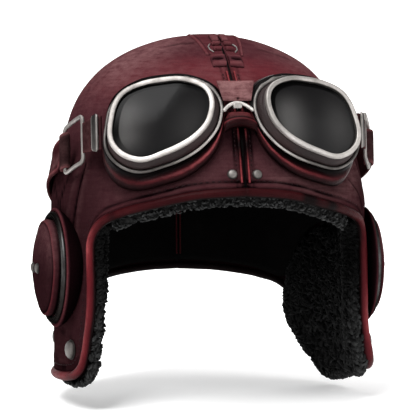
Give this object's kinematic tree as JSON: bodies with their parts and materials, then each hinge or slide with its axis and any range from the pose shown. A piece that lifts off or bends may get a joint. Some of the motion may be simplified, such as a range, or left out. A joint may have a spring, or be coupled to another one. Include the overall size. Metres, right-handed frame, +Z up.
{
  "type": "aviator helmet",
  "caption": "Worn leather flying helmet with fleece-lined ear flaps, padded round ear cups and strapped metal-rimmed goggles resting on the forehead.",
  "frame": {"origin": "middle of the top of the crown lining's inner face, where the helmet sits on the wearer's head", "axes": "+Z up, -Y to the wearer's front where the goggles are, +X to the wearer's left"},
  "size_m": [0.2369, 0.2218, 0.2354],
  "materials": {
    "leather": "worn dark maroon leather, semi-matte with paler rubbed folds",
    "piping": "rolled red-brown leather piping, satin",
    "padding": "soft padded leather, satin, redder on its raised edges",
    "lining": "matte black cloth lining",
    "fleece": "curly black shearling",
    "steel": "dull polished steel",
    "dark_metal": "dark brushed steel",
    "goggle_frame": "dark brown-black leather-covered frame",
    "lens": "smoked glass with soft grey reflections"
  },
  "bodies": {
    "root": {"crown_lining": "lining", "brim_fleece": "fleece", "bridge_leather": "leather", "bridge_arch": "steel", "nose_pad": "leather", "goggle_strap": "leather", "leather_panel_left": "leather", "edge_piping_left": "piping", "front_welt_left": "piping", "back_welt_left": "piping", "lining_welt_left": "piping", "flap_fleece_left": "fleece", "ear_cup_base_left": "padding", "ear_cup_ring_left": "dark_metal", "ear_cup_dome_left": "leather", "ear_cup_rivet_front_left": "steel", "ear_cup_rivet_rear_left": "steel", "snap_stud_front_left": "steel", "snap_stud_rear_left": "steel", "brim_rivet_left": "steel", "goggle_rim_left": "steel", "goggle_glass_left": "lens", "goggle_frame_left": "goggle_frame", "goggle_bead_left": "steel", "goggle_eyecup_left": "padding", "strap_tab_left": "leather", "slide_bar_left": "steel", "strap_loop_left": "steel", "strap_sleeve_left": "leather", "crest_patch_left": "leather", "crest_keeper_left": "leather", "crest_ring_left": "steel", "leather_panel_right": "leather", "edge_piping_right": "piping", "front_welt_right": "piping", "back_welt_right": "piping", "lining_welt_right": "piping", "flap_fleece_right": "fleece", "ear_cup_base_right": "padding", "ear_cup_ring_right": "dark_metal", "ear_cup_dome_right": "leather", "ear_cup_rivet_front_right": "steel", "ear_cup_rivet_rear_right": "steel", "snap_stud_front_right": "steel", "snap_stud_rear_right": "steel", "brim_rivet_right": "steel", "goggle_rim_right": "steel", "goggle_glass_right": "lens", "goggle_frame_right": "goggle_frame", "goggle_bead_right": "steel", "goggle_eyecup_right": "padding", "strap_tab_right": "leather", "slide_bar_right": "steel", "strap_loop_right": "steel", "strap_sleeve_right": "leather", "crest_patch_right": "leather", "crest_keeper_right": "leather", "crest_ring_right": "steel"}
  },
  "joints": []
}
